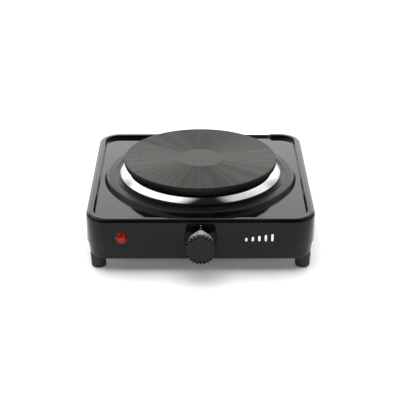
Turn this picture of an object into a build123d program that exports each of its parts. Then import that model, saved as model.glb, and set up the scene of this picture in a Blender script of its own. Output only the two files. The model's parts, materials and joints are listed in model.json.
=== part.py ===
from build123d import *
import math
import os

# Single hot plate burner: a cast-iron plate on a square pressed-steel housing, with a
# thermostat knob and an indicator lamp on the front.  Millimetres, +Z up, -Y is the front.
# The origin is on the floor, midway between the knob's face and the cord gland's end.

# ---- driving dimensions -------------------------------------------------------------
BODY = 221.0            # side of the square housing
BODY_Y = 8.0            # the housing's centre: the knob stands out further than the gland
CORNER_R = 22.5         # vertical corners of the housing
SHEET = 1.0             # pressed steel
FOOT_H = 15.0
SKIRT_Z = 28.65         # lower edge of the housing's skirt
DECK_Z = 55.0           # recessed top of the housing
RIM_Z = 58.5            # crest of the raised rim
RIM_W = 8.3             # from the side to the foot of the rim
RIM_ROLL = 3.6          # rolled outer edge of the rim
RIM_CREST = 6.9         # from the side to the inner edge of the crest
BEAD_R = 98.6           # foot of the raised bead round the plate
BEAD_TOP_R = 88.0       # inner edge of the bead's gently sloping top
BEAD_TOP_Z = 59.6
BEAD_EDGE_R = 94.6      # where the sloping top rolls over into the flank
BEAD_EDGE_Z = 59.2
BEAD_ROLL = 1.6          # breadth of the rolled shoulder
SEAT_R = 85.0           # flat floor inside the bead
SEAT_Z = 58.8           # floor that the trim ring stands on
PLATE_R = 77.5          # 155 mm cast-iron plate
PLATE_Z = 76.6
PLATE_RIM_Z = 70.8      # underside of the plate's overhanging rim
PLATE_FOOT_Z = 63.0     # underside of the plate's skirt
HOLE_R = 72.0           # opening in the housing under the plate
NOTCH_LEFT = 36.0       # dip in the rear rim, over the cord inlet
NOTCH_RIGHT = 79.0
DIP_Z = 57.4            # height of the rear edge along the dip
GAP = 0.1               # clearance between assembled pieces

KNOB_Z = 38.0
KNOB_OUT = 24.0         # knob's face in front of the panel
KNOB_R = 14.5
FLUTES = 24
POINTER_R = 12.2
POINTER_HALF_ANGLE = 35.0
SHAFT_R = 3.0
SHAFT_CLEARANCE = 0.05
BEZEL_R = 16.5
BEZEL_T = 3.2           # raised middle of the conical bezel
BEZEL_EDGE = 0.9
BEZEL_FLAT_R = 10.6
SCREW_X = 10.0          # thermostat screws either side of the shaft

LAMP_X = -75.7
LAMP_Z = 39.6
LAMP_R = 5.9
LAMP_EDGE = 0.8         # thickness of the lens at its edge
LAMP_OUT = 3.9

MARK_X = 56.0           # heat symbol on the panel
MARK_Z = 40.0
MARK_BARS = 5
MARK_PITCH = 6.2
MARK_H = 7.6            # tallest bar
PRINT_T = 0.15

GLAND_X = 57.5
GLAND_Z = 41.0
GLAND_OUT = 8.0
GLAND_IN = 11.0
GLAND_BORE_R = 3.7

FOOT_X = 99.9
FOOT_Y = 90.5
FOOT_R = 7.8
SOLE_R = 7.1
BRACKET_X = 40.0        # corner brackets that hold the base pan
BRACKET_Y = 97.0
SCREW_R = 1.75          # 3.5 mm screws

STUD_R = 3.0
BRIDGE_Z = 50.0         # underside of the clamp bridge's middle
SHIELD_Z = 49.2         # underside of the heat shield
CAM_R = 5.0             # cam radius at the off position
CAM_RISE = 1.2          # what it gains over the knob's travel
CAM_TRAVEL = 270.0      # degrees
ARM_PIVOT_X = 14.0
ARM_PIVOT_Z = 45.5
WIRE_R = 1.2

PANEL_Y = BODY_Y - BODY / 2
REAR_Y = BODY_Y + BODY / 2
CENTRE = Axis((0, BODY_Y, 0), (0, 0, 1))
KNOB_SECTION = Plane(origin=(0, PANEL_Y, KNOB_Z), x_dir=(0, -1, 0), z_dir=(-1, 0, 0))
KNOB_AXIS = Axis((0, PANEL_Y, KNOB_Z), (0, -1, 0))
SECTION = Plane(origin=(0, BODY_Y, 0), x_dir=(1, 0, 0), z_dir=(0, -1, 0))
BASE_TOP = FOOT_H + SHEET
TERMINAL_X = 44.0
TERMINAL_Y = 76.0
HEATER_PIN_Y = 56.0
EARTH_X = 78.0
EARTH_SCREW_Y = 59.0
EARTH_TAG_T = 0.8


# ---- placing and shaping ------------------------------------------------------------
def level(z, x=0.0, y=BODY_Y):
    """A horizontal plane at height z."""
    return Plane(origin=(x, y, z))


def front(x, z, out=0.0):
    """A plane on the front panel, facing forward."""
    return Plane(origin=(x, PANEL_Y - out, z), x_dir=(1, 0, 0), z_dir=(0, -1, 0))


def rear(x, z, out=0.0):
    """A plane on the rear panel, facing backward."""
    return Plane(origin=(x, REAR_Y + out, z), x_dir=(-1, 0, 0), z_dir=(0, 1, 0))


def disc(plane, radius, height, hole=0.0, mode=Mode.ADD):
    """A round disc or ring standing on a plane."""
    with BuildSketch(plane) as outline:
        Circle(radius)
        if hole > 0:
            Circle(hole, mode=Mode.SUBTRACT)
    extrude(outline.sketch, amount=height, mode=mode)


def block(plane, width, depth, height, corner=0.0, mode=Mode.ADD):
    """A rectangular block standing on a plane, with rounded corners if asked."""
    with BuildSketch(plane) as outline:
        if corner > 0:
            RectangleRounded(width, depth, corner)
        else:
            Rectangle(width, depth)
    extrude(outline.sketch, amount=height, mode=mode)


def turned(section, points, axis, mode=Mode.ADD):
    """A solid of revolution from straight-sided (radius, height) points."""
    with BuildSketch(section) as outline:
        with BuildLine():
            Polyline(*points, close=True)
        make_face()
    revolve(outline.sketch, axis=axis, mode=mode)


def hexagon(plane, across_flats, height, hole):
    """A hexagon nut or a hexagon head standing on a plane."""
    with BuildSketch(plane) as outline:
        RegularPolygon(across_flats / 2, 6, major_radius=False)
        if hole > 0:
            Circle(hole, mode=Mode.SUBTRACT)
    extrude(outline.sketch, amount=height)


def corners(x, y):
    """Four points around the housing's centre."""
    return [(sx * x, BODY_Y + sy * y) for sy in (-1, 1) for sx in (-1, 1)]


# ---- housing ------------------------------------------------------------------------
def housing_form(inset):
    """The housing as a solid: its outer surface, or its inner one when inset by the sheet."""
    side = BODY - 2 * inset
    crest = BODY / 2 - RIM_CREST + 0.8 * inset
    slope = RIM_W - RIM_CREST
    drop = RIM_Z - DECK_Z
    with BuildPart() as form:
        with BuildSketch(level(SKIRT_Z - (1.0 if inset else 0.0))):
            RectangleRounded(side, side, CORNER_R - inset)
        extrude(amount=RIM_Z - SKIRT_Z - inset + (1.0 if inset else 0.0))
        fillet(form.edges().group_by(Axis.Z)[-1], RIM_ROLL - inset)
        with BuildSketch(level(RIM_Z - inset)) as mouth:
            RectangleRounded(2 * crest, 2 * crest, CORNER_R - RIM_CREST + 0.8 * inset)
        extrude(mouth.sketch, amount=-drop, taper=math.degrees(math.atan2(slope, drop)), mode=Mode.SUBTRACT)
        with BuildSketch(SECTION) as bead:
            with BuildLine():
                floor = Line((0, DECK_Z - 5), (0, SEAT_Z - inset))
                rise = Polyline(floor @ 1, (SEAT_R + inset / 2, SEAT_Z - inset),
                                (BEAD_TOP_R + inset / 2, BEAD_TOP_Z - inset))
                top = Line(rise @ 1, (BEAD_EDGE_R - inset / 2, BEAD_EDGE_Z - inset))
                turn = (BEAD_EDGE_R + BEAD_ROLL - inset / 2, BEAD_EDGE_Z - 0.75 * BEAD_ROLL - inset)
                shoulder = TangentArc(top @ 1, turn, tangent=top % 1)
                flank = Line(shoulder @ 1, (BEAD_R - inset / 2, DECK_Z - inset))
                Polyline(flank @ 1, (BEAD_R - inset / 2, DECK_Z - 5), floor @ 0)
            make_face()
        revolve(bead.sketch, axis=CENTRE)
        rim_dip(inset)
    return form.part


def rim_dip(inset):
    """Turns the rear rim above the cord inlet into a shallow ramp, its edge rolled as elsewhere."""
    back = REAR_Y - inset
    foot = REAR_Y - RIM_W
    deck = DECK_Z - inset
    top = DIP_Z - inset
    roll = RIM_ROLL - inset
    side = Plane(origin=(NOTCH_LEFT - inset, 0, 0), x_dir=(0, 1, 0), z_dir=(1, 0, 0))
    with BuildSketch(side) as profile:
        with BuildLine():
            edge = CenterArc((back - roll, top - roll), roll, 90, -90)
            Polyline(edge @ 0, (foot, deck), (foot - 1, deck), (foot - 1, RIM_Z + 1), (back + 2, RIM_Z + 1),
                     (back + 2, top - roll), edge @ 1)
        make_face()
    extrude(profile.sketch, amount=NOTCH_RIGHT - NOTCH_LEFT + 2 * inset, mode=Mode.SUBTRACT)


def make_top_housing():
    outer = housing_form(0.0)
    inner = housing_form(SHEET)
    with BuildPart() as top_housing:
        add(outer)
        crest = top_housing.edges().filter_by_position(Axis.Z, RIM_Z - 0.01, RIM_Z + 0.01)
        inner_crest = [e for e in crest if abs(e.center().X) < BODY / 2 - RIM_CREST + 0.1
                       and abs(e.center().Y - BODY_Y) < BODY / 2 - RIM_CREST + 0.1]
        fillet(inner_crest, 0.9)
        add(inner, mode=Mode.SUBTRACT)
        disc(level(DECK_Z - 10), HOLE_R, 20, mode=Mode.SUBTRACT)
        disc(front(0, KNOB_Z, 1), 5.0 + GAP, -SHEET - 2, mode=Mode.SUBTRACT)
        for x in (-SCREW_X, SCREW_X):
            disc(front(x, KNOB_Z, 1), SCREW_R + GAP, -SHEET - 2, mode=Mode.SUBTRACT)
        disc(front(LAMP_X, LAMP_Z, 1), 4.6 + GAP, -SHEET - 2, mode=Mode.SUBTRACT)
        disc(rear(GLAND_X, GLAND_Z, 1), 6.0 + GAP, -SHEET - 2, mode=Mode.SUBTRACT)
    return top_housing


def make_base_pan():
    """The lower shell: a shallow tapered tray whose lip stands inside the skirt."""
    bottom = BODY / 2 - 2.9
    top = BODY / 2 - 1.1
    height = SKIRT_Z - GAP - FOOT_H
    draft = -math.degrees(math.atan2(top - bottom, height))
    lip = BODY / 2 - SHEET - 0.25
    lip_top = SKIRT_Z + 2.0
    with BuildPart() as base_pan:
        with BuildSketch(level(FOOT_H)) as tray:
            RectangleRounded(2 * bottom, 2 * bottom, 19.5)
        extrude(tray.sketch, amount=height, taper=draft)
        fillet(base_pan.edges().group_by(Axis.Z)[0], 3.0)
        block(level(SKIRT_Z - GAP), 2 * lip, 2 * lip, lip_top - SKIRT_Z + GAP, CORNER_R - SHEET - 0.3)
        with BuildSketch(level(BASE_TOP)) as hollow:
            RectangleRounded(2 * bottom - 2, 2 * bottom - 2, 18.5)
        extrude(hollow.sketch, amount=SKIRT_Z - BASE_TOP - 1.0, taper=draft, mode=Mode.SUBTRACT)
        mouth = 2 * (lip - SHEET)
        block(level(SKIRT_Z - 1.0), mouth, mouth, 10, CORNER_R - 2 * SHEET - 0.3, mode=Mode.SUBTRACT)
        with BuildSketch(level(FOOT_H - 1)) as slots:
            for row in (-1, 1):
                for column in range(9):
                    with Locations((-48 + 12 * column, row * 28)):
                        SlotOverall(34, 3.2, rotation=90)
        extrude(slots.sketch, amount=SHEET + 2, mode=Mode.SUBTRACT)
        for x, y in corners(FOOT_X, FOOT_Y) + corners(BRACKET_X, BRACKET_Y):
            disc(level(FOOT_H - 1, x, y), SCREW_R + GAP, SHEET + 2, mode=Mode.SUBTRACT)
    return base_pan


def make_corner_brackets():
    """Four angle brackets inside the skirt: the base screws bite into their feet."""
    reach = BODY / 2 - SHEET
    with BuildPart() as brackets:
        for x, y in corners(BRACKET_X, BRACKET_Y):
            side = 1 if y > BODY_Y else -1
            wall_y = BODY_Y + side * (reach - 0.7)
            block(level(BASE_TOP + 3, x, y - side), 16, 14, 1.5)
            block(level(BASE_TOP + 3, x, y - side * 7.2), 16, 1.6, SKIRT_Z + 8 - BASE_TOP - 3)
            foot_y = (y - side * 7.2 + wall_y) / 2
            block(level(SKIRT_Z + 6.4, x, foot_y), 16, abs(wall_y - y + side * 7.2) + 1.4, 1.6)
            block(level(SKIRT_Z + 6.4, x, wall_y), 16, 1.4, 12)
            disc(level(BASE_TOP, x, y), SCREW_R, 8, mode=Mode.SUBTRACT)
    return brackets


def make_base_screws():
    with BuildPart() as base_screws:
        for x, y in corners(BRACKET_X, BRACKET_Y):
            disc(level(FOOT_H - 2.0, x, y), 3.2, 2.0)
            disc(level(FOOT_H, x, y), SCREW_R, 8.0)
            block(level(FOOT_H - 2.0, x, y), 4.4, 0.9, 0.9, mode=Mode.SUBTRACT)
            block(level(FOOT_H - 2.0, x, y), 0.9, 4.4, 0.9, mode=Mode.SUBTRACT)
    return base_screws


def make_foot(x, y):
    """A tapered rubber foot with its screw sunk in from below."""
    section = Plane(origin=(x, y, 0), x_dir=(1, 0, 0), z_dir=(0, -1, 0))
    with BuildPart() as foot:
        with BuildSketch(section) as profile:
            with BuildLine():
                sole = Line((0, 0), (SOLE_R - 1.9, 0))
                heel = TangentArc(sole @ 1, (SOLE_R, 1.9), tangent=(1, 0))
                flank = Line(heel @ 1, (FOOT_R, FOOT_H))
                Polyline(flank @ 1, (0, FOOT_H), sole @ 0)
            make_face()
        revolve(profile.sketch, axis=Axis((x, y, 0), (0, 0, 1)))
        disc(level(0, x, y), 3.6, 6.0, mode=Mode.SUBTRACT)
        disc(level(0, x, y), SCREW_R + GAP, FOOT_H, mode=Mode.SUBTRACT)
    return foot


def make_foot_screws():
    with BuildPart() as foot_screws:
        for x, y in corners(FOOT_X, FOOT_Y):
            disc(level(3.8, x, y), 3.2, 2.2)
            disc(level(6.0, x, y), SCREW_R, 12.0)
            block(level(3.8, x, y), 4.4, 0.9, 1.0, mode=Mode.SUBTRACT)
            block(level(3.8, x, y), 0.9, 4.4, 1.0, mode=Mode.SUBTRACT)
            disc(level(BASE_TOP, x, y), 3.4, 1.6)
    return foot_screws


# ---- hot plate ----------------------------------------------------------------------
def make_cast_iron_plate():
    """The plate, with a dished centre, an overhanging rim and two channels for the coils."""
    outline = [
        (0, PLATE_Z - 0.3), (22.6, PLATE_Z - 0.3), (23.2, PLATE_Z), (PLATE_R - 0.6, PLATE_Z),
        (PLATE_R, PLATE_Z - 0.6), (PLATE_R, PLATE_RIM_Z + 0.5), (PLATE_R - 0.5, PLATE_RIM_Z),
        (74.2, PLATE_RIM_Z), (74.2, PLATE_FOOT_Z), (66.0, PLATE_FOOT_Z), (66.0, 68.0),
        (46.0, 68.0), (46.0, PLATE_FOOT_Z), (42.0, PLATE_FOOT_Z), (42.0, 68.0),
        (22.0, 68.0), (22.0, PLATE_FOOT_Z), (STUD_R, PLATE_FOOT_Z), (STUD_R, 72.0), (0, 72.0),
    ]
    with BuildPart() as plate:
        turned(SECTION, outline, CENTRE)
    return plate


def make_trim_ring():
    """The bright ring that closes the step between the plate's rim and the housing."""
    with BuildPart() as ring:
        with BuildSketch(SECTION) as section:
            with BuildLine():
                outside = ThreePointArc((74.9, 67.6), (78.9, 64.9), (82.2, 61.9))
                lip = ThreePointArc(outside @ 1, (82.15, 61.2), (81.6, 60.8))
                heel = Line(lip @ 1, (81.0, SEAT_Z))
                under = Line(heel @ 1, (79.8, SEAT_Z))
                inside = ThreePointArc((79.9, 62.3), (78.0, 63.9), (74.9, 66.5))
                Line(under @ 1, inside @ 0)
                Line(inside @ 1, outside @ 0)
            make_face()
        revolve(section.sketch, axis=CENTRE)
    return ring


def coil_ring(radius, mode=Mode.ADD):
    """A sheathed heating coil: one nearly closed turn."""
    gap = 14.0
    with BuildSketch(SECTION) as wire:
        with Locations((radius, 65.6)):
            Circle(1.9)
    revolve(wire.sketch, axis=CENTRE, revolution_arc=360 - gap, mode=mode)


def make_heating_coil():
    with BuildPart() as coil:
        coil_ring(32.0)
        coil_ring(56.0)
    return coil


def make_coil_cement():
    """The ceramic filling that holds the coils in the plate's channels."""
    with BuildPart() as cement:
        disc(level(PLATE_FOOT_Z), 42.0, 5.0, hole=22.0)
        disc(level(PLATE_FOOT_Z), 66.0, 5.0, hole=46.0)
        coil_ring(32.0, mode=Mode.SUBTRACT)
        coil_ring(56.0, mode=Mode.SUBTRACT)
    return cement


def make_heater_cover():
    """The sheet disc that closes the plate's underside."""
    with BuildPart() as cover:
        disc(level(PLATE_FOOT_Z - 0.8), 70.0, 0.8, hole=STUD_R + GAP)
        for x in (-5.0, 5.0):
            disc(level(PLATE_FOOT_Z - 1, x, HEATER_PIN_Y), 1.5, 2, mode=Mode.SUBTRACT)
    return cover


def make_heater_terminal():
    """The ceramic block that the heater's pins come down through."""
    with BuildPart() as terminal:
        block(level(45.0, 0, HEATER_PIN_Y), 20, 9, PLATE_FOOT_Z - 0.8 - 45.0, 2.0)
        for x in (-5.0, 5.0):
            disc(level(44.0, x, HEATER_PIN_Y), 1.3, 20, mode=Mode.SUBTRACT)
    return terminal


def make_heater_pins():
    with BuildPart() as pins:
        for x in (-5.0, 5.0):
            disc(level(41.0, x, HEATER_PIN_Y), 1.2, PLATE_FOOT_Z - 41.0)
    return pins


def make_plate_stud():
    with BuildPart() as stud:
        disc(level(41.0), STUD_R, 31.0)
        chamfer(stud.edges().group_by(Axis.Z)[0], 0.6)
    return stud


def make_clamp_bridge():
    """The strap under the housing that the stud pulls down on."""
    profile = [
        (-84.0, 57.8), (-74.0, 57.8), (-60.0, BRIDGE_Z + 1.6), (60.0, BRIDGE_Z + 1.6),
        (74.0, 57.8), (84.0, 57.8), (84.0, 56.2), (74.7, 56.2), (60.7, BRIDGE_Z),
        (-60.7, BRIDGE_Z), (-74.7, 56.2), (-84.0, 56.2),
    ]
    with BuildPart() as bridge:
        with BuildSketch(Plane(origin=(0, BODY_Y - 12, 0), x_dir=(1, 0, 0), z_dir=(0, -1, 0))) as strip:
            with BuildLine():
                Polyline(*profile, close=True)
            make_face()
        extrude(strip.sketch, amount=-24)
        disc(level(BRIDGE_Z - 1), STUD_R + GAP, 4, mode=Mode.SUBTRACT)
    return bridge


def make_heat_shield():
    """The bright pan under the plate that keeps heat away from the wiring."""
    with BuildPart() as shield:
        disc(level(SHIELD_Z), 70.0, 0.8, hole=STUD_R + GAP)
        disc(level(SHIELD_Z - 4), 70.0, 4.0, hole=69.2)
        block(level(SHIELD_Z - 1, 0, HEATER_PIN_Y), 20.4, 9.4, 3, 2.2, mode=Mode.SUBTRACT)
        for x in (-40.0, 40.0):
            disc(level(SHIELD_Z - 1, x), 1.4, 3, mode=Mode.SUBTRACT)
    return shield


def make_stud_washer():
    with BuildPart() as washer:
        disc(level(SHIELD_Z - 1.2), 9.0, 1.2, hole=STUD_R + GAP)
    return washer


def make_stud_nut():
    with BuildPart() as nut:
        hexagon(level(SHIELD_Z - 6.2), 10.0, 5.0, STUD_R + GAP)
    return nut


def make_thermal_fuse():
    """A tubular thermal cut-off lying under the shield."""
    with BuildPart() as fuse:
        disc(Plane(origin=(31.0, BODY_Y, 45.8), z_dir=(1, 0, 0)), 2.4, 18)
        disc(Plane(origin=(27.0, BODY_Y, 45.8), z_dir=(1, 0, 0)), 0.6, 26)
    return fuse


def make_fuse_clip():
    with BuildPart() as clip:
        block(level(42.4, 40.0), 5.0, 6.8, SHIELD_Z - 42.4)
        disc(Plane(origin=(36.0, BODY_Y, 45.8), z_dir=(1, 0, 0)), 2.45, 8, mode=Mode.SUBTRACT)
    return clip


# ---- thermostat ---------------------------------------------------------------------
def make_thermostat_bracket():
    """The plate behind the panel, with the bushing that carries the shaft."""
    with BuildPart() as bracket:
        block(front(0, KNOB_Z + 2.5, -SHEET), 38, 19, -1.2)
        disc(front(0, KNOB_Z, 1.6), 5.0, -1.6 - SHEET - 1.2)
        disc(front(0, KNOB_Z, 3), SHAFT_R + SHAFT_CLEARANCE, -8, mode=Mode.SUBTRACT)
        for x in (-SCREW_X, SCREW_X):
            disc(front(x, KNOB_Z, 0), SCREW_R, -5, mode=Mode.SUBTRACT)
        for x in (-16.5, 16.5):
            disc(front(x, 33.5, 0), 1.5, -5, mode=Mode.SUBTRACT)
        disc(front(ARM_PIVOT_X, ARM_PIVOT_Z, 0), 1.3, -5, mode=Mode.SUBTRACT)
    return bracket


def make_thermostat_screws():
    with BuildPart() as screws:
        for x in (-SCREW_X, SCREW_X):
            disc(front(x, KNOB_Z, 1.4), 2.9, -1.4)
            disc(front(x, KNOB_Z, 0), SCREW_R, -5.5)
            block(front(x, KNOB_Z, 1.5), 4.0, 0.8, -0.8, mode=Mode.SUBTRACT)
    return screws


def make_thermostat_posts():
    """Two spacers from the bracket to the ceramic block."""
    with BuildPart() as posts:
        for x in (-16.5, 16.5):
            disc(front(x, 33.5, -SHEET - 1.2), 2.2, -9.8)
            disc(front(x, 33.5, -SHEET), 1.5, -1.2)
    return posts


def make_thermostat_body():
    """The ceramic block that carries the shaft's rear end and the contacts."""
    with BuildPart() as body:
        block(front(0, 39.5, -12.0), 40, 21, -16, 2.0)
        fillet(body.edges().group_by(Axis.Y)[-1], 1.0)
        disc(front(0, KNOB_Z, -11), SHAFT_R + SHAFT_CLEARANCE, -8, mode=Mode.SUBTRACT)
        disc(front(ARM_PIVOT_X, ARM_PIVOT_Z, -11), 1.2, -6, mode=Mode.SUBTRACT)
    return body


def make_thermostat_shaft():
    """The spindle: it carries the knob in front and the cam behind."""
    with BuildPart() as shaft:
        disc(front(0, KNOB_Z, 18.0), SHAFT_R, -18.0 - 18.0)
        block(front(0, KNOB_Z + 3.4, 18.5), 8, 2.0, -11.0, mode=Mode.SUBTRACT)
    return shaft


def make_cam_disc():
    """A snail cam: its radius grows evenly with the knob's angle."""
    steps = 15
    with BuildPart() as cam:
        with BuildSketch(front(0, KNOB_Z, -6.0)) as outline:
            with BuildLine():
                rise = []
                for i in range(steps + 1):
                    turn = (CAM_TRAVEL + 20) * i / steps
                    radius = CAM_R + CAM_RISE * turn / CAM_TRAVEL
                    angle = math.radians(90 + turn)
                    rise.append((radius * math.cos(angle), radius * math.sin(angle)))
                spiral = Spline(*rise)
                Line(spiral @ 1, spiral @ 0)
            make_face()
            Circle(SHAFT_R + SHAFT_CLEARANCE, mode=Mode.SUBTRACT)
        extrude(outline.sketch, amount=-3.0)
    return cam


def make_arm_pivot():
    with BuildPart() as pivot:
        disc(front(ARM_PIVOT_X, ARM_PIVOT_Z, -SHEET), 1.2, -14.0)
    return pivot


def make_contact_arm():
    """The lever that rides on the cam and closes the contact at its free end."""
    under = KNOB_Z + CAM_R + 0.3
    with BuildPart() as arm:
        disc(front(ARM_PIVOT_X, ARM_PIVOT_Z, -6.0), 2.6, -3.0)
        block(front(-0.5, under + 0.6, -6.0), 27.0, 1.2, -3.0)
        block(front(12.6, under + 1.6, -6.0), 2.0, 3.0, -3.0)
        disc(front(ARM_PIVOT_X, ARM_PIVOT_Z, -5.0), 1.25, -5.0, mode=Mode.SUBTRACT)
        disc(level(under + 1.2, -12.0, PANEL_Y + 7.5), 1.2, 0.8)
    return arm


def make_fixed_contact():
    """The contact blade above the arm, standing out of the ceramic block."""
    with BuildPart() as contact:
        block(front(-12.0, KNOB_Z + 11.2, -5.5), 5.0, 1.0, -6.5)
        disc(level(KNOB_Z + 10.0, -12.0, PANEL_Y + 7.5), 1.2, 0.8)
    return contact


# ---- knob, bezel and marks ----------------------------------------------------------
def make_control_knob():
    """A fluted grip on a smooth teardrop pointer body, moulded in one."""
    apex = POINTER_R / math.cos(math.radians(POINTER_HALF_ANGLE))
    shoulder_x = POINTER_R * math.sin(math.radians(POINTER_HALF_ANGLE))
    shoulder_z = POINTER_R * math.cos(math.radians(POINTER_HALF_ANGLE))
    with BuildPart() as knob:
        with BuildSketch(front(0, KNOB_Z, 7.0)) as teardrop:
            Circle(POINTER_R)
            with BuildLine():
                Polyline((-shoulder_x, shoulder_z), (0, apex), (shoulder_x, shoulder_z), (0, 0), close=True)
            make_face()
            fillet(teardrop.vertices().group_by(Axis.Z)[-1], 1.6)
        extrude(teardrop.sketch, amount=16.5 - 7.0)
        disc(front(0, KNOB_Z, BEZEL_T + 0.5), 9.5, 7.0 - BEZEL_T - 0.5)
        disc(front(0, KNOB_Z, 16.5), KNOB_R, KNOB_OUT - 16.5)
        rims = knob.edges().filter_by(GeomType.CIRCLE).filter_by(lambda e: abs(e.radius - KNOB_R) < 0.01)
        chamfer(rims.sort_by(Axis.Y)[0], 0.9)
        with BuildSketch(front(0, KNOB_Z, 16.0)) as flutes:
            with PolarLocations(KNOB_R + 0.45, FLUTES, start_angle=90 + 180 / FLUTES):
                Circle(1.25)
        extrude(flutes.sketch, amount=KNOB_OUT - 15.0, mode=Mode.SUBTRACT)
        disc(front(0, KNOB_Z, KNOB_OUT - 0.35), 11.8, 1, mode=Mode.SUBTRACT)
        disc(front(0, KNOB_Z, 1), 3.4, 19.0, mode=Mode.SUBTRACT)
        disc(front(0, KNOB_Z, 1), 7.6, 10.0, hole=5.0, mode=Mode.SUBTRACT)
    return knob


def make_knob_clip():
    """The spring sleeve between the knob's bore and the shaft."""
    with BuildPart() as clip:
        disc(front(0, KNOB_Z, 8.0), 3.4, 9.5, hole=SHAFT_R)
        block(front(0, KNOB_Z - 3.2, 7.0), 1.0, 2.4, 12, mode=Mode.SUBTRACT)
    return clip


def make_dial_bezel():
    """The glossy cone between the knob and the panel, with pockets over the screw heads."""
    with BuildPart() as bezel:
        turned(KNOB_SECTION, [(0, 5.4), (BEZEL_T, 5.4), (BEZEL_T, BEZEL_FLAT_R), (BEZEL_EDGE, BEZEL_R - 0.3),
                              (BEZEL_EDGE - 0.3, BEZEL_R), (0, BEZEL_R)], KNOB_AXIS)
        for x in (-SCREW_X, SCREW_X):
            disc(front(x, KNOB_Z, -0.5), 3.1, 2.1, mode=Mode.SUBTRACT)
    return bezel


def make_index_marks():
    """Two small raised strokes at the bezel's top: the off position."""
    slope = (BEZEL_T - BEZEL_EDGE) / (BEZEL_R - 0.3 - BEZEL_FLAT_R)
    tilt = math.atan(slope)
    with BuildPart() as marks:
        for radius in (13.0, 15.4):
            height = BEZEL_EDGE + (BEZEL_R - 0.3 - radius) * slope
            spot = Plane(origin=(0, PANEL_Y - height, KNOB_Z + radius), x_dir=(1, 0, 0),
                         z_dir=(0, -math.cos(tilt), math.sin(tilt)))
            block(spot, 1.4, 0.8, PRINT_T)
    return marks


def make_heat_mark():
    """Five rounded bars of growing height on the panel, a plain symbol for heat."""
    with BuildPart() as mark:
        for i in range(MARK_BARS):
            tall = MARK_H - (MARK_BARS - 1 - i) * 1.0
            with BuildSketch(front(MARK_X + (i - 2) * MARK_PITCH, MARK_Z + (tall - MARK_H) / 2)) as bar:
                SlotOverall(tall, 2.2, rotation=90)
            extrude(bar.sketch, amount=PRINT_T)
    return mark


# ---- indicator lamp -----------------------------------------------------------------
def make_lamp_lens():
    """A domed red lens with a hollow barrel through the panel."""
    axis_plane = Plane(origin=(LAMP_X, PANEL_Y, LAMP_Z), x_dir=(0, -1, 0), z_dir=(-1, 0, 0))
    rise = LAMP_OUT - LAMP_EDGE
    dome_r = (LAMP_R ** 2 + rise ** 2) / (2 * rise)
    with BuildPart() as lens:
        with BuildSketch(axis_plane) as profile:
            with BuildLine():
                sweep_angle = math.degrees(math.asin(LAMP_R / dome_r))
                dome = CenterArc((LAMP_OUT - dome_r, 0), dome_r, 0, sweep_angle)
                Polyline(dome @ 1, (0, LAMP_R), (0, 0), dome @ 0)
            make_face()
        revolve(profile.sketch, axis=Axis((LAMP_X, PANEL_Y, LAMP_Z), (0, -1, 0)))
        disc(front(LAMP_X, LAMP_Z), 4.6, -9.0)
        disc(front(LAMP_X, LAMP_Z, 1.6), 3.4, -12.0, mode=Mode.SUBTRACT)
    return lens


def make_lamp_clip():
    """The push-on ring that holds the lens from behind the panel."""
    with BuildPart() as clip:
        disc(front(LAMP_X, LAMP_Z, -SHEET), 7.5, -0.7, hole=4.65)
        for angle in (0, 90):
            with BuildSketch(front(LAMP_X, LAMP_Z, -SHEET + 0.5)) as cut:
                Rectangle(15.5 if angle else 1.4, 1.4 if angle else 15.5)
                Circle(6.2, mode=Mode.INTERSECT)
            extrude(cut.sketch, amount=-2, mode=Mode.SUBTRACT)
    return clip


def make_neon_bulb():
    with BuildPart() as bulb:
        disc(front(LAMP_X, LAMP_Z, 0.4), 2.6, -11.4)
        fillet(bulb.edges().sort_by(Axis.Y)[0], 1.8)
    return bulb


def make_lamp_holder():
    """The socket behind the lens that carries the bulb."""
    with BuildPart() as holder:
        disc(front(LAMP_X, LAMP_Z, -9.0), 5.0, -10.0)
        disc(front(LAMP_X, LAMP_Z, -8.0), 2.65, -3.05, mode=Mode.SUBTRACT)
        fillet(holder.edges().filter_by(GeomType.CIRCLE).sort_by(Axis.Y)[-1], 0.8)
    return holder


# ---- wiring -------------------------------------------------------------------------
def make_terminal_block():
    """A three-way block on the base pan."""
    with BuildPart() as terminals:
        block(level(BASE_TOP, TERMINAL_X, TERMINAL_Y), 33, 18, 4)
        for offset_x in (-10.5, 0.0, 10.5):
            block(level(BASE_TOP + 4, TERMINAL_X + offset_x, TERMINAL_Y), 9, 18, 8)
            disc(Plane(origin=(TERMINAL_X + offset_x, TERMINAL_Y - 10, 23.0), z_dir=(0, 1, 0)),
                 2.2, 20, mode=Mode.SUBTRACT)
            disc(level(BASE_TOP + 8, TERMINAL_X + offset_x, TERMINAL_Y - 4), 1.9, 8, mode=Mode.SUBTRACT)
            disc(level(BASE_TOP + 8, TERMINAL_X + offset_x, TERMINAL_Y + 4), 1.9, 8, mode=Mode.SUBTRACT)
    return terminals


def make_terminal_screws():
    with BuildPart() as screws:
        for offset_x in (-10.5, 0.0, 10.5):
            for offset_y in (-4.0, 4.0):
                disc(level(24.4, TERMINAL_X + offset_x, TERMINAL_Y + offset_y), 1.7, 3.0)
                block(level(26.9, TERMINAL_X + offset_x, TERMINAL_Y + offset_y), 0.6, 3.6, 1,
                      mode=Mode.SUBTRACT)
    return screws


def make_earth_tag():
    """The tab that bonds the base pan to earth."""
    with BuildPart() as tag:
        block(level(BASE_TOP, EARTH_X, 62.0), 9, 16, EARTH_TAG_T)
        block(level(BASE_TOP, EARTH_X, 70.4), 6.3, EARTH_TAG_T, 8.0)
        disc(level(BASE_TOP - 1, EARTH_X, EARTH_SCREW_Y), SCREW_R + GAP, 3, mode=Mode.SUBTRACT)
    return tag


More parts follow.
